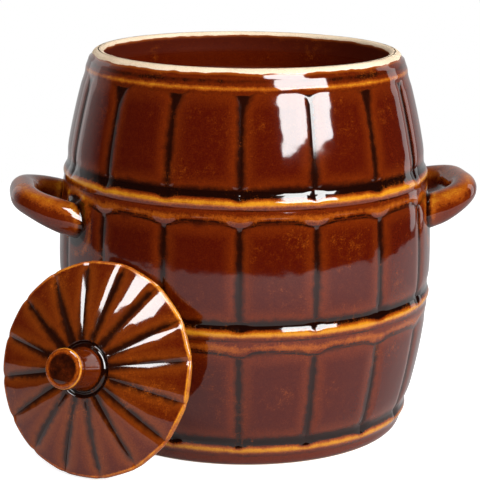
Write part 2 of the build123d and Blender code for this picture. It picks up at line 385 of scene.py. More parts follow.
def stave_relief(across, height, panel_corners):
    """Relief of the outside, and how far from its panel's outline each point lies."""
    pillow = np.full(np.broadcast(across, height).shape, -groove_depth)
    edge = np.zeros(pillow.shape)
    half_stave = barrel_radius(height) * pi / stave_count
    half_width = half_stave - groove_half_width
    groove_gap = half_stave - np.abs(across)

    tops = [crest - panel_below_hoop for crest in hoop_heights]
    tops.append(rim_line_height - panel_below_rim_line)
    for crest, top, (left, right) in zip(crests, tops, panel_corners):
        bottom = crest + panel_above_hoop
        distance = panel_distance(across, height, half_width, bottom, top, left, right)
        from_side = np.clip((half_width - np.abs(across)) / panel_side_reach, 0, 1)
        near_end = np.clip(1 - np.minimum(top - height, height - bottom) / panel_end_reach, 0, 1)
        near_top = np.clip(1 - (top - height) / panel_end_reach, 0, 1)
        depth = groove_depth * (1 - panel_end_flatness * from_side * near_end)
        inner = edge_profile(np.maximum(distance, 0), depth, panel_edge_width, flank_power)
        gap = np.clip(-distance / panel_gap_slope, 0, 1)
        pillow = np.maximum(pillow, inner - panel_gap_depth * gap)
        lift = top_tier_lift if top > hoop_heights[1] else lower_tier_lift
        lift = lift * np.clip(lift_growth * from_side, 0, 1) * near_top
        edge = np.maximum(edge, distance + lift)

    band = rounded_table(height - foot_hoop_height, foot_relief)
    for crest in hoop_heights:
        dip = band_dip * bell(groove_gap, 0, gather_width)
        dip = dip * np.clip((crest - height) / band_dip_start - 1, 0, 1)
        band = np.maximum(band, rounded_table(height - crest + dip, hoop_relief))
    band = np.maximum(band, rounded_table(height - rim_line_height, rim_relief))

    dimples = 0
    for crest in crests:
        above = height - crest - trough_above_hoop
        pillow = pillow - trough_depth * bell(above, 0, np.where(above < 0, *trough_half_widths))
        dimple = edge_profile(groove_gap, dimple_depth, dimple_width, flank_power)
        dimples = dimples + dimple * bell(height, crest + dimple_above_hoop, dimple_half_height)
    on_band = np.clip((band - pillow) / band_glaze_blend, 0, 1)
    edge = edge + on_band * (np.maximum(edge, band_glaze_edge) - edge)
    return soft_max(pillow, band, band_blend) + dimples, edge


def crock_streaks(level, groove_gap):
    """Where the glaze thins on ridges and where it pools, with painted shade under the bands and a
    painted dark reflection at the grooves over the hoops, from a height and a groove's distance.
    """
    rim_line, top = rim_line_height / MM, crock_height / MM
    gather = bell(groove_gap, 0, gather_half_width / MM)
    dip = band_dip / MM * bell(groove_gap, 0, gather_width / MM)
    ridge = streak(level, rim_line_ridge, rim_line) + streak(level, lip_ridge, top)
    pool = streak(level, pool_under_rim, rim_line) + streak(level, pool_over_rim, rim_line)
    for crest in crests:
        hoop = crest / MM
        # Near a groove, the weaker honey and wider dark are partly a painted dark reflection in the
        # dimple
        ridge = ridge + streak(level, hoop_ridge, hoop, hoop_ridge_at_groove, gather)
        pool = pool + streak(level, pool_over_hoop, hoop, pool_and_dark_reflection_at_groove, gather)
        pool = pool + streak(level, pool_under_hoop, hoop)
        if crest in hoop_heights:
            ridge = ridge + streak(level, band_ridge, hoop, band_ridge_in_dip, dip)
            # The dark line under the band is partly painted shadow
            pool = pool + streak(level, pool_and_shadow_under_band, hoop, pool_and_shadow_under_band_in_dip, dip)
    return ridge, pool


def crock_section(foot_radius, rim_radius):
    """Radius and height of the section under the foot, and of the lip and the whole inside."""
    foot = [(share * foot_radius, 0.0) for share in (0.0, 0.5, 0.9)]
    foot.append((foot_radius - foot_chamfer, 0.0))

    outer_round = rim_radius - lip_outer_round, crock_height - lip_outer_round
    inner_round = rim_radius - wall + lip_inner_round, crock_height - lip_inner_round
    lip = arc_points(*outer_round, lip_outer_round, 0.08, 0.5, 8)
    lip.append((rim_radius - wall / 2 - 0.2 * MM, crock_height))
    lip += arc_points(*inner_round, lip_inner_round, 0.5, 1, 6)

    def inner_wall(start, end, count):
        heights = np.linspace(start, end, count)
        return [(float(barrel_radius(height)) - wall, height) for height in heights]

    inside = inner_wall(inner_wall_start, land_height, 5)
    land_edge = inside[-1][0] - land_width
    land_foot = land_height - land_depth
    inside += [(land_edge, land_height), (land_edge, land_foot)]
    floor_round_height = floor_thickness + floor_round
    inside += inner_wall(land_foot - land_slope_depth, floor_round_height, 14)
    corner = inside[-1][0] - floor_round
    inside += arc_points(corner, floor_round_height, floor_round, -0.1, -0.5, 5)
    inside += [(0.5 * corner, floor_thickness), (0.0, floor_thickness)]
    return np.array(foot), np.array(lip + inside)


def crock_wedge(name, panel_corners):
    """One stave's wedge of the whole crock, closed when its copies stand round the axis."""
    angles = stave_columns * pi / stave_count
    smooth_radius = barrel_radius(stave_rows)
    relief, distance = stave_relief(angles * smooth_radius, stave_rows, panel_corners)
    outside = spun(smooth_radius + relief, stave_rows, angles)

    rim_radius = float(barrel_radius(crock_height))
    below, above = crock_section(np.hypot(*outside[0, 0, :2]), rim_radius)
    parts = [
        spun(below[:, :1], below[:, 1:], angles), outside, spun(above[:, :1], above[:, 1:], angles),
    ]

    level = stave_rows / MM
    groove_gap = (1 - np.abs(stave_columns)) * pi / stave_count * smooth_radius / MM
    ridge, pool = crock_streaks(level, groove_gap)
    lip_middle = rim_radius - wall / 2
    outer_bare = (above[:, 1:] - glaze_line_height) / MM
    inner_bare = (above[:, 1:] - inner_glaze_line_height) / MM
    lip_bare = np.where(above[:, :1] > lip_middle, outer_bare, inner_bare)
    lip_bare = np.maximum(lip_bare, fully_glazed)
    side_bare = np.maximum((stave_rows - glaze_line_height) / MM, fully_glazed)
    masks = {
        "edge_mm": (far_from_edge, np.clip(distance / MM, 0, 12), far_from_edge),
        "ridge": (0, ridge, 0),
        "pool": (0, pool, 0),
        "bare_mm": (fully_bare, side_bare, lip_bare),
        "loose": (0, np.clip((level - even_foot) / even_foot_blend, 0, 1), 0),
        "crease": (0, np.abs(stave_columns) > near_seam, 0),
        "dull": (0, 0, above[:, :1] < lip_middle),
    }
    masks = {mask: stacked(parts, values) for mask, values in masks.items()}
    return grid_object(name, np.concatenate(parts), masks)


def lid_top(radius):
    """Height of the lid's ribs above its seat at a radius, a little bowed."""
    share = (lid_radius - radius) / (lid_radius - moat_radius)
    return lid_edge + (lid_rise - lid_edge) * share + 4 * lid_bow * share * (1 - share)


def sector_top(crown, lean):
    """Points of a sector's top, and their distance across from its groove."""
    radii, columns = sector_rows, sector_columns
    across = radii * np.sin(half_sector - np.abs(sector_angles))

    # Grooves are shallow and narrow at the hub, and the pillow between them grows to the rim
    depth = sector_groove_depth * (hub_depth_share + depth_share_gain * sector_shares)
    width = sector_edge_width * (hub_width_share + (1 - hub_width_share) * sector_shares)
    crown = crown * (radii / lid_radius) ** crown_growth
    relief = edge_profile(across, depth, width) - crown * columns**2
    relief = relief + lean * columns * (1 - columns**2)

    # The relief settles where the ribs meet the moat and the rounded rim
    from_hub = np.clip((radii - moat_radius) / hub_settle_width, 0, 1)
    from_rim = np.clip((lid_radius - lid_edge_round - radii) / rim_settle_width, 0, 1)
    relief = relief * (hub_settle_share + (1 - hub_settle_share) * from_hub)
    relief = relief * (rim_settle_share + (1 - rim_settle_share) * from_rim)

    # The rim is nearly straight from groove to groove, with a notch at each
    straight = (1 - columns**2) * lid_radius * (1 - cos(half_sector)) * rim_straightness
    rim_across = (1 - np.abs(columns)) * half_sector * lid_radius
    notch = rim_notch_depth * bell(rim_across, 0, rim_notch_half_width)
    near_rim = (radii - rim_straight_start) / (lid_radius - rim_straight_start)
    pull = (straight + notch) * np.clip(near_rim, 0, 1) ** 2
    return spun(radii - pull, lid_top(radii) + relief, sector_angles), across


def sector_edge(top):
    """Points of a sector's rounded edge, under the last row of its top."""
    last_radius = np.hypot(top[-1, :, 0], top[-1, :, 1])
    upper_turns = np.linspace(0.5, 0, 5)[1:, None] * pi
    lower_turns = np.linspace(0, -0.5, 4)[:, None] * pi
    upper_height = top[-1, :, 2] - lid_edge_round * (1 - np.sin(upper_turns))
    lower_height = lid_edge_round * (1 + np.sin(lower_turns))
    return np.concatenate([
        spun(last_radius + lid_edge_round * np.cos(upper_turns), upper_height, sector_angles),
        spun(last_radius + lid_edge_round * np.cos(lower_turns), lower_height, sector_angles),
    ])


def lid_wedge(name, crown, lean):
    """One sector's wedge of the lid, from the middle of its top over the edge to its underside."""
    top, across = sector_top(crown, lean)
    hub = [(0.0, lid_rise), (knob_base_radius, lid_rise)]
    for turn in np.linspace(0, 1, 7)[1:-1]:
        hub.append((knob_base_radius + moat_width * turn, lid_rise - moat_depth * sin(pi * turn)))
    hub = np.array(hub)

    hollow = lid_top(skirt_inner_radius) - lid_thickness
    ceiling = lid_rise - lid_thickness
    under = np.array([
        (0.9 * lid_radius, 0.0), (0.8 * lid_radius, 0.0), (skirt_inner_radius, 0.0),
        (skirt_inner_radius, hollow), (0.6 * skirt_inner_radius, 0.45 * (hollow + ceiling)),
        (moat_radius, ceiling), (0.0, ceiling),
    ])
    parts = [
        spun(hub[:, :1], hub[:, 1:], sector_angles), top, sector_edge(top),
        spun(under[:, :1], under[:, 1:], sector_angles),
    ]

    narrowing = (rim_groove_half_width - hub_groove_half_width) * sector_shares
    near_rim = np.clip((sector_shares - rim_glaze_start) / rim_glaze_span, 0, 1)
    distance = across - hub_groove_half_width - narrowing
    distance = distance + sector_glaze_edge + rim_glaze_edge_gain * near_rim
    edge_mm = np.clip(distance / MM, *edge_limits)
    rim_gap = (lid_radius - sector_rows) / MM
    rim_ridge = streak(rim_gap, lid_rim_ridge) * (1 - streak(across / MM, lid_rim_break))
    moat = np.clip((moat_radius + moat_glaze_width - hub[:, :1]) / MM, 0, 1)
    moat_edge = streak((sector_rows - moat_radius) / MM, moat_pool)
    masks = {
        "edge_mm": (far_from_edge, edge_mm, far_from_edge, far_from_edge),
        "ridge": (0, rim_ridge, lid_edge_ridge, 0),
        "pool": (moat, moat_edge, 0, 0),
        "bare_mm": (fully_glazed,) * 4,
        "loose": (0, lid_looseness, 0, 0),
        "crease": (0, np.abs(sector_columns) > near_seam, 0, 0),
        "dull": (0, streak(rim_gap, lid_rim_dullness), lid_rim_dullness[0], 0),
    }
    masks = {mask: stacked(parts, values)[::-1] for mask, values in masks.items()}
    return grid_object(name, np.concatenate(parts)[::-1], masks)


# Small helpers that place and join nodes
def place(tree, kind, inputs=(), **settings):
    """A node of a kind, with its settings, and values or links for its inputs by name or number."""
    made = tree.nodes.new(kind)
    for setting, value in settings.items():
        setattr(made, setting, value)
    for key, value in dict(inputs).items():
        if isinstance(value, bpy.types.NodeSocket):
            tree.links.new(value, made.inputs[key])
        else:
            made.inputs[key].default_value = value
    return made


def work_out(tree, operation, *values):
    """The result of one sum on values or sockets."""
    return place(tree, "ShaderNodeMath", enumerate(values), operation=operation).outputs[0]


def ramp(tree, value, low, high, start=0.0, end=1.0):
    """A smooth change from start to end as a value goes from low to high."""
    inputs = {"Value": value, "From Min": low, "From Max": high, "To Min": start, "To Max": end}
    made = place(tree, "ShaderNodeMapRange", inputs, interpolation_type="SMOOTHSTEP")
    return made.outputs["Result"]


def blend_colours(tree, share, first, second):
    """One colour turning into another as a share goes from 0 to 1."""
    # Inputs 6 and 7 and output 2 are the ones for colours
    inputs = {0: share, 6: first, 7: second}
    return place(tree, "ShaderNodeMix", inputs, data_type="RGBA").outputs[2]


def stored_mask(tree, name):
    """A mask of the mesh, read by name in geometry nodes."""
    made = place(tree, "GeometryNodeInputNamedAttribute", {"Name": name}, data_type="FLOAT")
    return made.outputs[0]


def emptied_tree(holder):
    """The node tree of a material or a world, with nothing in it."""
    holder.use_nodes = True
    holder.node_tree.nodes.clear()
    return holder.node_tree


def socket(tree, name, kind, way="INPUT", value=None, low=None, high=None):
    """A named input or output of a group."""
    made = tree.interface.new_socket(name=name, in_out=way, socket_type=kind)
    if value is not None:
        made.default_value = value
    if low is not None:
        made.min_value, made.max_value = low, high
    return made


def ring_tree():
    """Geometry nodes that stand a wedge's copies round the axis and close them into one body."""
    tree = bpy.data.node_groups.new("ring_of_wedges", "GeometryNodeTree")
    wedge_names = ("Wedge A", "Wedge B", "Wedge C")
    for name in wedge_names:
        socket(tree, name, "NodeSocketObject")
    socket(tree, "Count", "NodeSocketInt", value=16, low=3, high=64)
    socket(tree, "Seed", "NodeSocketInt", value=0)
    socket(tree, "Seam Width", "NodeSocketFloat", value=seam_width)
    socket(tree, "Unevenness", "NodeSocketFloat", value=0.2 * MM)
    socket(tree, "Unevenness Scale", "NodeSocketFloat", value=14.0)
    socket(tree, "Glaze", "NodeSocketMaterial")
    socket(tree, "Geometry", "NodeSocketGeometry", way="OUTPUT")
    given = tree.nodes.new("NodeGroupInput").outputs

    # Copies of the wedges, turned to their places round the axis and joined
    wedges = place(tree, "GeometryNodeGeometryToInstance")
    for name in wedge_names:
        wedge = place(tree, "GeometryNodeObjectInfo", {"Object": given[name]})
        tree.links.new(wedge.outputs["Geometry"], wedges.inputs[0])
    points = place(tree, "GeometryNodePoints", {"Count": given["Count"]})
    index = place(tree, "GeometryNodeInputIndex").outputs[0]
    step = work_out(tree, "DIVIDE", 2 * pi, given["Count"])
    turn = place(tree, "ShaderNodeCombineXYZ", {"Z": work_out(tree, "MULTIPLY", index, step)})
    rotation = place(tree, "FunctionNodeEulerToRotation", {0: turn.outputs[0]})
    # Inputs 4 and 5 are the range of whole numbers, which picks one of three kinds
    choice_inputs = {"Seed": given["Seed"], 4: 0, 5: len(wedge_names) - 1}
    choice = place(tree, "FunctionNodeRandomValue", choice_inputs, data_type="INT")
    ring = place(tree, "GeometryNodeInstanceOnPoints", {
        "Points": points.outputs[0], "Instance": wedges.outputs[0], "Pick Instance": True,
        "Instance Index": choice.outputs[2], "Rotation": rotation.outputs[0],
    })
    real = place(tree, "GeometryNodeRealizeInstances", {0: ring.outputs[0]})
    closed = place(tree, "GeometryNodeMergeByDistance", {
        "Geometry": real.outputs[0], "Distance": given["Seam Width"],
    })

    # The surface is uneven where the mask named loose lets it be
    noise = place(tree, "ShaderNodeTexNoise", {
        "Vector": place(tree, "GeometryNodeInputPosition").outputs[0],
        "Scale": given["Unevenness Scale"], "Detail": 2.0,
    })
    swing = work_out(tree, "SUBTRACT", noise.outputs[0], 0.5)
    swing = work_out(tree, "MULTIPLY", swing, given["Unevenness"])
    swing = work_out(tree, "MULTIPLY", swing, stored_mask(tree, "loose"))
    facing = place(tree, "GeometryNodeInputNormal").outputs[0]
    offset = place(tree, "ShaderNodeVectorMath", {0: facing, "Scale": swing}, operation="SCALE")
    moved = place(tree, "GeometryNodeSetPosition", {
        "Geometry": closed.outputs[0], "Offset": offset.outputs[0],
    })

    # Smooth all over, with a sharp bottom to each groove
    smooth = place(tree, "GeometryNodeSetShadeSmooth", {"Geometry": moved.outputs[0]})
    sharp = work_out(tree, "GREATER_THAN", stored_mask(tree, "crease"), 0.99)
    creased = place(tree, "GeometryNodeSetShadeSmooth", {
        "Geometry": smooth.outputs[0], "Selection": sharp, "Shade Smooth": False,
    }, domain="EDGE")
    glazed = place(tree, "GeometryNodeSetMaterial", {
        "Geometry": creased.outputs[0], "Material": given["Glaze"],
    })
    place(tree, "NodeGroupOutput", {0: glazed.outputs[0]})
    return tree


def stand_round(name, tree, wedges, settings, transform):
    """Runs the ring tree on an empty mesh and keeps the result as a plain mesh in its place."""
    carrier = linked(name + "_ring", bpy.data.meshes.new(name + "_ring"))
    modifier = carrier.modifiers.new("ring", "NODES")
    modifier.node_group = tree
    items = [item for item in tree.interface.items_tree if item.item_type == "SOCKET"]
    named = {item.name: item.identifier for item in items}
    for letter, wedge in zip("ABC", wedges):
        modifier[named["Wedge " + letter]] = wedge
    for setting, value in settings.items():
        modifier[named[setting]] = value
    bpy.context.view_layer.update()
    ready = carrier.evaluated_get(bpy.context.evaluated_depsgraph_get())
    mesh = bpy.data.meshes.new_from_object(ready)
    mesh.name = name
    carrier.modifiers.clear()
    for spent in (carrier, *wedges):
        bpy.data.objects.remove(spent)
    mesh.transform(transform)
    return linked(name, mesh)


def glaze_group():
    """Shader nodes for the brown glaze: near black where it pools and honey where it thins."""
    tree = bpy.data.node_groups.new("brown_glaze", "ShaderNodeTree")
    for name, value in (
        ("Edge", far_from_edge), ("Ridge", 0.0), ("Pool", 0.0), ("Bare", fully_glazed),
        ("Warmth", 0.0), ("Dull", 0.0), ("Groove Dullness", 0.12),
    ):
        socket(tree, name, "NodeSocketFloat", value=value)
    for name, colour in (
        ("Honey Colour", (0.62, 0.24, 0.012)), ("Amber Colour", (0.31, 0.062, 0.004)),
        ("Body Colour", (0.06, 0.0026, 0.0005)), ("Thin Colour", (0.17, 0.022, 0.0012)),
        ("Pool Colour", (0.008, 0.0011, 0.0003)), ("Clay Colour", (0.86, 0.68, 0.48)),
    ):
        socket(tree, name, "NodeSocketColor", value=(*colour, 1))
    socket(tree, "Colour", "NodeSocketColor", way="OUTPUT")
    socket(tree, "Roughness", "NodeSocketFloat", way="OUTPUT")
    socket(tree, "Height", "NodeSocketFloat", way="OUTPUT")
    given = tree.nodes.new("NodeGroupInput").outputs
    where = place(tree, "ShaderNodeTexCoord").outputs["Object"]

    def noise(scale, detail):
        inputs = {"Vector": where, "Scale": scale, "Detail": detail}
        made = place(tree, "ShaderNodeTexNoise", inputs)
        return work_out(tree, "SUBTRACT", made.outputs[0], 0.5)

    def stirred(value, *amounts):
        for source, amount in amounts:
            value = work_out(tree, "MULTIPLY_ADD", source, amount, value)
        return value

    # Freckles, curdled runs, clouds of colour and slow waves
    speck = noise(1100.0, 1.0)
    curdle = noise(240.0, 3.0)
    cloud = noise(38.0, 3.0)
    wave = noise(75.0, 1.0)

    # The body of the glaze, lighter near a panel's edge and in clouds
    loose_edge = stirred(given["Edge"], (curdle, 8.0), (cloud, 14.0))
    thin_edge = ramp(tree, loose_edge, 2.0, 13.0, 0.5, 0.0)
    light = stirred(thin_edge, (cloud, 0.65), (curdle, 0.6), (speck, 0.7))
    light = ramp(tree, work_out(tree, "ADD", light, given["Warmth"]), -0.25, 0.95)
    colour = blend_colours(tree, light, given["Body Colour"], given["Thin Colour"])

    # Dark in the grooves and pools and where the pool mask holds painted shade, amber and then
    # honey on the ridges and where the ridge mask holds painted light
    shaky_edge = stirred(given["Edge"], (curdle, 2.6), (cloud, 3.0))
    groove = ramp(tree, shaky_edge, 5.0, 0.2, 0.0, 0.95)
    shaky_pool = stirred(given["Pool"], (curdle, 0.5), (cloud, 0.8))
    pooled = ramp(tree, shaky_pool, 0.2, 0.75)
    dark = work_out(tree, "MAXIMUM", groove, pooled)
    colour = blend_colours(tree, dark, colour, given["Pool Colour"])
    shaky_ridge = stirred(given["Ridge"], (speck, 0.55), (curdle, 0.6), (cloud, 0.8))
    amber = ramp(tree, shaky_ridge, 0.12, 0.6)
    colour = blend_colours(tree, amber, colour, given["Amber Colour"])
    honey = ramp(tree, shaky_ridge, 0.5, 1.15)
    colour = blend_colours(tree, honey, colour, given["Honey Colour"])

    # Bare clay past the glaze line, with an amber fringe
    shaky_line = stirred(given["Bare"], (wave, 2.0), (curdle, 0.8))
    fringe = ramp(tree, shaky_line, -2.2, -0.3, 0.0, 0.85)
    colour = blend_colours(tree, fringe, colour, given["Amber Colour"])
    bare = ramp(tree, shaky_line, -0.15, 0.2)
    mottle = ramp(tree, work_out(tree, "ADD", speck, cloud), -0.3, 0.3)
    dark_clay = (0.74, 0.55, 0.36, 1)
    clay = blend_colours(tree, mottle, dark_clay, given["Clay Colour"])
    colour = blend_colours(tree, bare, colour, clay)

    # Glossy all over, but for sheltered grooves, dull parts and bare clay
    glossy_roughness, dull_roughness, clay_roughness = 0.055, 0.32, 0.8
    sheltered = work_out(tree, "SUBTRACT", groove, pooled)
    sheltered = work_out(tree, "MULTIPLY", sheltered, given["Groove Dullness"])
    sheltered = work_out(tree, "MAXIMUM", sheltered, given["Dull"])
    roughness = work_out(tree, "MULTIPLY_ADD", sheltered, dull_roughness, glossy_roughness)
    dry_roughness = ramp(tree, bare, 0.0, 1.0, 0.0, clay_roughness)
    roughness = work_out(tree, "MAXIMUM", dry_roughness, roughness)
    swell = work_out(tree, "MULTIPLY", wave, 0.45)
    grit = work_out(tree, "MULTIPLY", speck, bare)
    height = stirred(swell, (curdle, 0.05), (grit, 0.3))
    place(tree, "NodeGroupOutput", {0: colour, 1: roughness, 2: height})
    return tree


def glaze_material(name, group, masks=(), **values):
    """A glazed finish whose masks come from the mesh, with values of its own for the rest."""
    material = bpy.data.materials.new(name)
    tree = emptied_tree(material)
    glaze = place(tree, "ShaderNodeGroup", node_tree=group)
    for key, value in values.items():
        glaze.inputs[key.replace("_", " ").title()].default_value = value
    for key, mask in dict(masks).items():
        reader = place(tree, "ShaderNodeAttribute", attribute_name=mask)
        tree.links.new(reader.outputs["Fac"], glaze.inputs[key])
    relief = place(tree, "ShaderNodeBump", {
        "Height": glaze.outputs["Height"], "Strength": 0.16, "Distance": 2 * MM,
    })
    shader = place(tree, "ShaderNodeBsdfPrincipled", {
        "Base Color": glaze.outputs["Colour"], "Roughness": glaze.outputs["Roughness"],
        "Normal": relief.outputs[0], "IOR": 1.53,
    })
    place(tree, "ShaderNodeOutputMaterial", {0: shader.outputs[0]})
    return material


def close_up(piece):
    """Merges a mesh's seams and poles, turns its faces outwards and shades it smooth."""
    work = bmesh.new()
    work.from_mesh(piece.data)
    bmesh.ops.remove_doubles(work, verts=work.verts, dist=seam_width)
    bmesh.ops.recalc_face_normals(work, faces=work.faces)
    work.to_mesh(piece.data)
    work.free()
    piece.data.polygons.foreach_set("use_smooth", [True] * len(piece.data.polygons))


def vertex_places(piece):
    """Where a piece's vertices are, one row each."""
    places = np.empty(len(piece.data.vertices) * 3)
    piece.data.vertices.foreach_get("co", places)
    return places.reshape(-1, 3)


def read_mask(piece, mask):
    """A mask's value at every vertex of a piece."""
    values = np.empty(len(piece.data.vertices))
    piece.data.attributes[mask].data.foreach_get("value", values)
    return values


def write_mask(piece, mask, values):
    """Gives a mask new values."""
    piece.data.attributes[mask].data.foreach_set("value", values.astype(np.float32))


group = glaze_group()
edge_masks = {"Edge": "edge_mm", "Ridge": "ridge", "Pool": "pool", "Bare": "bare_mm"}
ring_masks = {**edge_masks, "Dull": "dull"}
lid_thin_colour = (0.172, 0.031, 0.002, 1)
barrel_glaze = glaze_material("barrel_glaze", group, ring_masks)
lid_glaze = glaze_material("lid_glaze", group, ring_masks, warmth=0.1, thin_colour=lid_thin_colour)
handle_glaze = glaze_material("handle_glaze", group, edge_masks, warmth=0.3)
inner_glaze = glaze_material("inner_glaze", group, warmth=0.1, dull=1.0)
bare_clay = glaze_material("bare_clay", group, bare=fully_bare)

# Crock: three kinds of stave wedge, stood round the axis with a fixed pick. Each kind gives the
# upper corners of its three panels, left and right, in millimetres.
tree = ring_tree()
stave_wedges = [
    crock_wedge(name, np.array(corners) * MM)
    for name, corners in (
        ("plain_stave", ((1.5, 1.5), (1.5, 2.0), (6.0, 9.0))),
        ("notched_stave", ((2.5, 1.5), (1.5, 1.5), (12.0, 6.0))),
        ("leaning_stave", ((1.5, 2.5), (2.5, 1.5), (5.0, 13.0))),
    )
]
crock_settings = {
    "Count": stave_count, "Seed": 7, "Seam Width": seam_width,
    "Unevenness": 0.22 * MM, "Unevenness Scale": 14.0, "Glaze": barrel_glaze,
}
crock_turned = Matrix.Rotation(-pi / 2, 4, "Z")
crock = stand_round("crock_barrel", tree, stave_wedges, crock_settings, crock_turned)


def handle_path(side):
    """Points along a handle's bar, and the bar's radius at each."""
    bend_start = handle_reach - handle_bar_radius - handle_bend
    straight = np.linspace(-handle_root_depth, bend_start, 8)
    outline = [(out, -handle_half_spread) for out in straight]
    for turn in np.linspace(-0.5, 0, 22)[1:] * pi:
        along = handle_bend * (1 + sin(turn)) - handle_half_spread
        outline.append((bend_start + handle_bend * cos(turn), along))
    outline += [(out, -along) for out, along in outline[::-1]]
    outline = np.array(outline)
    steps = np.append(0, np.cumsum(np.hypot(*np.diff(outline, axis=0).T)))
    from_root = np.minimum(steps, steps[-1] - steps)
    flare = np.clip(1 - (from_root - handle_root_depth) / handle_flare_length, 0, 1)
    flare = flare**handle_flare_power
    radius = handle_bar_radius + (handle_root_radius - handle_bar_radius) * flare
    out = float(barrel_radius(handle_height)) + outline[:, 0] * cos(handle_tilt)
    up = handle_height + outline[:, 0] * sin(handle_tilt)
    return np.stack([side * out, side * outline[:, 1], up], -1), radius


def handle_bar(name, side):
    """A handle's bar with flared roots that end inside the crock's wall."""
    path, radius = handle_path(side)
    ahead = np.gradient(path, axis=0)
    ahead /= np.linalg.norm(ahead, axis=1)[:, None]
    up = np.array([-side * sin(handle_tilt), 0, cos(handle_tilt)])
    sideways = np.cross(ahead, up)
    turns = np.linspace(0, 2 * pi, 49)
    ring = np.cos(turns)[None, :, None] * sideways[:, None]
    ring = ring + np.sin(turns)[None, :, None] * up
    ripple = np.sin(np.arange(len(path)) * handle_ripple_step + side)[:, None]
    swell = 1 + handle_unevenness * ripple * np.sin(2 * turns + 1)
    points = path[:, None] + ring * (radius[:, None] * swell)[..., None]
    first_cap, last_cap = (np.repeat(path[end][None, None], len(turns), 1) for end in (0, -1))
    points = np.concatenate([first_cap, points, last_cap])

    clear = (np.hypot(points[..., 0], points[..., 1]) - barrel_radius(points[..., 2])) / MM
    top = np.zeros(clear.shape)
    top[1:-1] = np.sin(turns)
    # The bar's upper side turns honey, partly glaze thinning and partly painted light from above
    top_thinning_and_painted_light = streak(top, bar_top_thinning_and_painted_light) * np.clip(clear / bar_root_fade, 0, 1)
    root_ridge = streak(clear, bar_root_ridge) * np.clip(top + 1, 0, 1)
    # The pool at the root is partly glaze gathering and partly painted shade in the crevice
    masks = {
        "edge_mm": np.clip(clear + bar_edge_gain, *edge_limits), "ridge": top_thinning_and_painted_light + root_ridge,
        "pool": streak(clear, bar_root_pool_and_shade), "bare_mm": np.full(clear.shape, fully_glazed),
    }
    piece = grid_object(name, points, masks)
    close_up(piece)
    piece.data.materials.append(handle_glaze)
    return piece


handles = [handle_bar("handle_bar_left", -1), handle_bar("handle_bar_right", 1)]

# Lid: the frame gives its tilt and its middle
lid_lift = next(joint for joint in frame["joints"] if joint["name"] == "lid_lift")
lid_normal = Vector(lid_lift["axis"]).normalized()
skirt_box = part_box("lid_skirt")
skirt_middle = (Vector(skirt_box[0]) + Vector(skirt_box[1])) / 2
lid_origin = skirt_middle + lid_normal * skirt_drop / 2
lid_across = Vector((0, 0, 1)).cross(lid_normal).normalized()
lid_up = lid_normal.cross(lid_across)
lid_axes = Matrix((lid_across, lid_up, lid_normal)).transposed().to_4x4()
lid_place = Matrix.Translation(lid_origin) @ lid_axes

sector_wedges = [
    lid_wedge("plain_sector", 1.1 * MM, 0.0),
    lid_wedge("full_sector", 1.4 * MM, 0.15 * MM),
    lid_wedge("leaning_sector", 0.9 * MM, -0.2 * MM),
]
lid_settings = {
    "Count": sector_count, "Seed": 3, "Seam Width": seam_width,
    "Unevenness": 0.3 * MM, "Unevenness Scale": 26.0, "Glaze": lid_glaze,
}
lid_turned = lid_place @ Matrix.Rotation(sector_turn, 4, "Z")
lid = stand_round("lid_ribbed", tree, sector_wedges, lid_settings, lid_turned)


def knob():
    """The turned knob: a waisted neck under a rounded head."""
    neck_top = lid_rise + knob_neck_length
    head_top = neck_top + knob_head_thickness
    seat = lid_rise - knob_seat_depth

    # Each row gives a radius, a height, how much the glaze thins and how much it pools
    rows = [(0.0, seat, 0, 1), (knob_base_radius, seat, 0, 1)]
    for share in np.linspace(0, 1, 14):
        straight = knob_base_radius + (knob_neck_radius - knob_base_radius) * share
        bow = 4 * knob_waist * share * (1 - share)
        pool = streak(share, knob_foot_pool) + streak(share, knob_neck_pool)
        rows.append((straight - bow, lid_rise + knob_neck_length * share, 0, pool))
    half_head = knob_head_thickness / 2
    widest = sin(knob_head_half_turn * pi)
    for turn in np.linspace(-knob_head_half_turn, knob_head_half_turn, 12) * pi:
        bulge = cos(turn) ** knob_head_power * (knob_head_radius - knob_neck_radius)
        high = neck_top + half_head + half_head * sin(turn) / widest
        ridge = streak(turn, knob_head_ridge)
        rows.append((knob_neck_radius + bulge - knob_head_inset, high, ridge, 0))
    face = knob_head_radius - knob_head_round
    for share in np.linspace(1, 0, 7):
        high = head_top + knob_dome * (1 - share**2)
        pool = knob_face_pool * min(1, knob_face_pool_growth * (1 - share))
        rows.append((face * share, high, streak(share, knob_face_ridge), pool))

    radius, height, ridge, pool = np.array(rows).T[:, :, None]
    points = spun(radius, height, np.linspace(0, 2 * pi, 97))
    flat = np.zeros(points.shape[:2])
    masks = {
        "edge_mm": flat + far_from_edge, "ridge": flat + ridge,
        "pool": flat + pool, "bare_mm": flat + fully_glazed,
    }
    piece = grid_object("knob_turned", points, masks)
    piece.data.transform(lid_place)
    close_up(piece)
    piece.data.materials.append(lid_glaze)
    return piece


lid_handle = knob()

# Where the bars' roots meet the crock, the edge and pool masks darken it, partly glaze gathering in
# the join and partly painted shade in the crevice, and the glaze thins round that
spots = vertex_places(crock)
root_gap = np.full(len(spots), 1.0)
for path, radius in (handle_path(side) for side in (-1, 1)):
    for spot, bar in zip(path[::2], radius[::2]):
        root_gap = np.minimum(root_gap, np.linalg.norm(spots - spot, axis=1) - bar)
near_root = root_gap / MM
edge = read_mask(crock, "edge_mm")
root_edge = np.minimum(edge, np.maximum(near_root - root_edge_gap, 0))
write_mask(crock, "edge_mm", np.where(near_root < root_edge_reach, root_edge, edge))
faded = read_mask(crock, "ridge") * np.clip(near_root / root_ridge_fade - 1, 0, 1)
write_mask(crock, "ridge", faded + streak(near_root, ridge_round_root))
write_mask(crock, "pool", read_mask(crock, "pool") + streak(near_root, pool_and_shade_round_root))

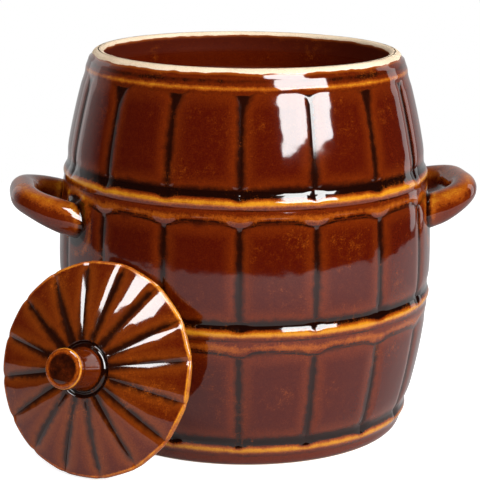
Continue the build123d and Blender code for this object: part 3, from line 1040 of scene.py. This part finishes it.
# The lid's rim is honey where its glaze thins, brighter on the right and top and browner on the
# left and bottom as painted light from the window side
mean_strength, strength_swing = 0.78, 0.36
painted_light_way = np.array(lid_across * 0.9 + lid_up * 0.45)
painted_light_share = (vertex_places(lid) - np.array(lid_origin)) @ painted_light_way / lid_radius
rim_strength = mean_strength + strength_swing * np.clip(painted_light_share, -1, 1)
write_mask(lid, "ridge", read_mask(lid, "ridge") * rim_strength)

# CAD pieces that keep their own shape
for node, finish in (("gutter_ring", inner_glaze), ("lid_skirt", bare_clay)):
    mesh = frame["nodes"][node].data
    mesh.materials.clear()
    mesh.materials.append(finish)

for piece, node, body, slot in (
    (crock, "crock_body", "crock", "brown_glaze"),
    (handles[0], "handle_left", "crock", "brown_glaze"),
    (handles[1], "handle_right", "crock", "brown_glaze"),
    (lid, "lid_cover", "lid", "brown_glaze"),
    (lid_handle, "lid_knob", "lid", "brown_glaze"),
):
    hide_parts(node)
    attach(piece, body)

# Table: a pale round top whose reflection veils the lower half of the jar
table_rings = np.array([[0.0], [0.3], [0.6], [0.85]])
table_colour = (0.63, 0.62, 0.62, 1)
table_glow = 0.8
table_points = spun(table_rings, 0.0, np.linspace(0, 2 * pi, 97))[::-1]
table = grid_object("pale_table", table_points, {})
close_up(table)
pale = bpy.data.materials.new("pale_table")
tree = emptied_tree(pale)
seen = place(tree, "ShaderNodeLightPath").outputs["Is Camera Ray"]
paint = place(tree, "ShaderNodeBsdfDiffuse", {"Color": table_colour})
shine = work_out(tree, "MULTIPLY", seen, table_glow)
glow = place(tree, "ShaderNodeEmission", {"Color": (1, 1, 1, 1), "Strength": shine})
both = place(tree, "ShaderNodeAddShader", {0: paint.outputs[0], 1: glow.outputs[0]})
place(tree, "ShaderNodeOutputMaterial", {0: both.outputs[0]})
table.data.materials.append(pale)

# World: white to the camera, an even light on all, and dim when mirrored except behind the jar,
# where the backdrop stands
even_light, front_mirrored, back_mirrored = 0.42, 0.02, 0.5
world = bpy.data.worlds.new("studio")
bpy.context.scene.world = world
tree = emptied_tree(world)
rays = place(tree, "ShaderNodeLightPath").outputs
direction = place(tree, "ShaderNodeTexCoord").outputs["Generated"]
behind = place(tree, "ShaderNodeSeparateXYZ", {0: direction}).outputs["Y"]
backdrop = ramp(tree, behind, 0.35, 0.85, front_mirrored, back_mirrored)
change = work_out(tree, "SUBTRACT", backdrop, even_light)
mirrored = work_out(tree, "MULTIPLY", rays["Is Glossy Ray"], change)
strength = work_out(tree, "ADD", mirrored, even_light)
strength = work_out(tree, "MAXIMUM", strength, rays["Is Camera Ray"])
sky = place(tree, "ShaderNodeBackground", {"Color": (1, 1, 1, 1), "Strength": strength})
place(tree, "ShaderNodeOutputWorld", {0: sky.outputs[0]})

jar_middle = (0, 0, 0.13)


def lamp(name, azimuth, elevation, distance, width, height, power, target=jar_middle):
    """A rectangular lamp at an azimuth right of the front, facing the jar or another target."""
    data = bpy.data.lights.new(name, "AREA")
    data.shape = "RECTANGLE"
    data.size = width
    data.size_y = height
    data.energy = power
    light = linked(name, data)
    azimuth, elevation = radians(azimuth), radians(elevation)
    out = Vector((
        sin(azimuth) * cos(elevation), -cos(azimuth) * cos(elevation), sin(elevation),
    ))
    light.location = Vector(target) + out * distance
    light.rotation_euler = (-out).to_track_quat("-Z", "Y").to_euler()
    return light


def light_only(light, name, pieces):
    """Lets a light reach only the pieces given."""
    reached = bpy.data.collections.new(name)
    for piece in pieces:
        reached.objects.link(piece)
    light.light_linking.receiver_collection = reached


# The window: one lamp lights everything, and two show only as marks in the glaze, not on the
# far handle. The marks stand a little nearer than the lamp.
window_place = (30.5, 25.5)
window_size = (1.2, 0.78)
window_distance, mark_distance = 2.0, 1.96
window = lamp("window_light", *window_place, window_distance, *window_size, 44.0)
window.visible_glossy = False
mirroring = [crock, handles[0], lid, lid_handle]
for name, mark_place, mark_size, power in (
    ("window_mark", window_place, window_size, 56.0),
    ("high_window_mark", (28.5, 56.5), (0.68, 1.4), 57.0),
):
    mark = lamp(name, *mark_place, mark_distance, *mark_size, power)
    mark.visible_diffuse = False
    light_only(mark, name, mirroring)

# A box left of the camera that only the lid mirrors, and a soft fill that nothing mirrors
lid_pieces = [lid, lid_handle]
left_box = lamp("left_box_mark", -52.0, 44.5, 1.8, 0.58, 0.52, 18.5, lid_origin)
left_box.visible_diffuse = False
light_only(left_box, "left_box_mark", lid_pieces)
lid_fill = lamp("lid_fill", -50.0, 42.0, 2.1, 0.45, 0.42, 15.0, lid_origin)
lid_fill.visible_glossy = False
light_only(lid_fill, "lid_fill", lid_pieces)
left_fill = lamp("left_fill", -62.0, 35.0, 2.0, 1.2, 1.2, 9.0)
left_fill.visible_glossy = False
lamp("right_strip", 114.0, 12.0, 1.6, 0.35, 1.2, 1.7)
lamp("left_strip", -146.0, 12.0, 1.6, 0.6, 1.2, 0.9)

# Camera, solved from the crock's rims and outline
camera_place = (-0.20119, -1.17084, 0.4086)
camera_heading = atan(camera_place[0] / camera_place[1])
camera_pitch = radians(90 - 13.39)
camera_roll = radians(0.58)
camera_data = bpy.data.cameras.new("camera")
camera_data.sensor_width = 36.0
camera_data.lens = 131.05
camera_data.shift_x = -0.0102
camera = linked("camera", camera_data)
camera.location = camera_place
level_turn = Matrix.Rotation(-camera_heading, 4, "Z") @ Matrix.Rotation(camera_pitch, 4, "X")
camera.rotation_euler = (level_turn @ Matrix.Rotation(camera_roll, 4, "Z")).to_euler()
bpy.context.scene.camera = camera
bpy.context.scene.view_settings.view_transform = "Standard"
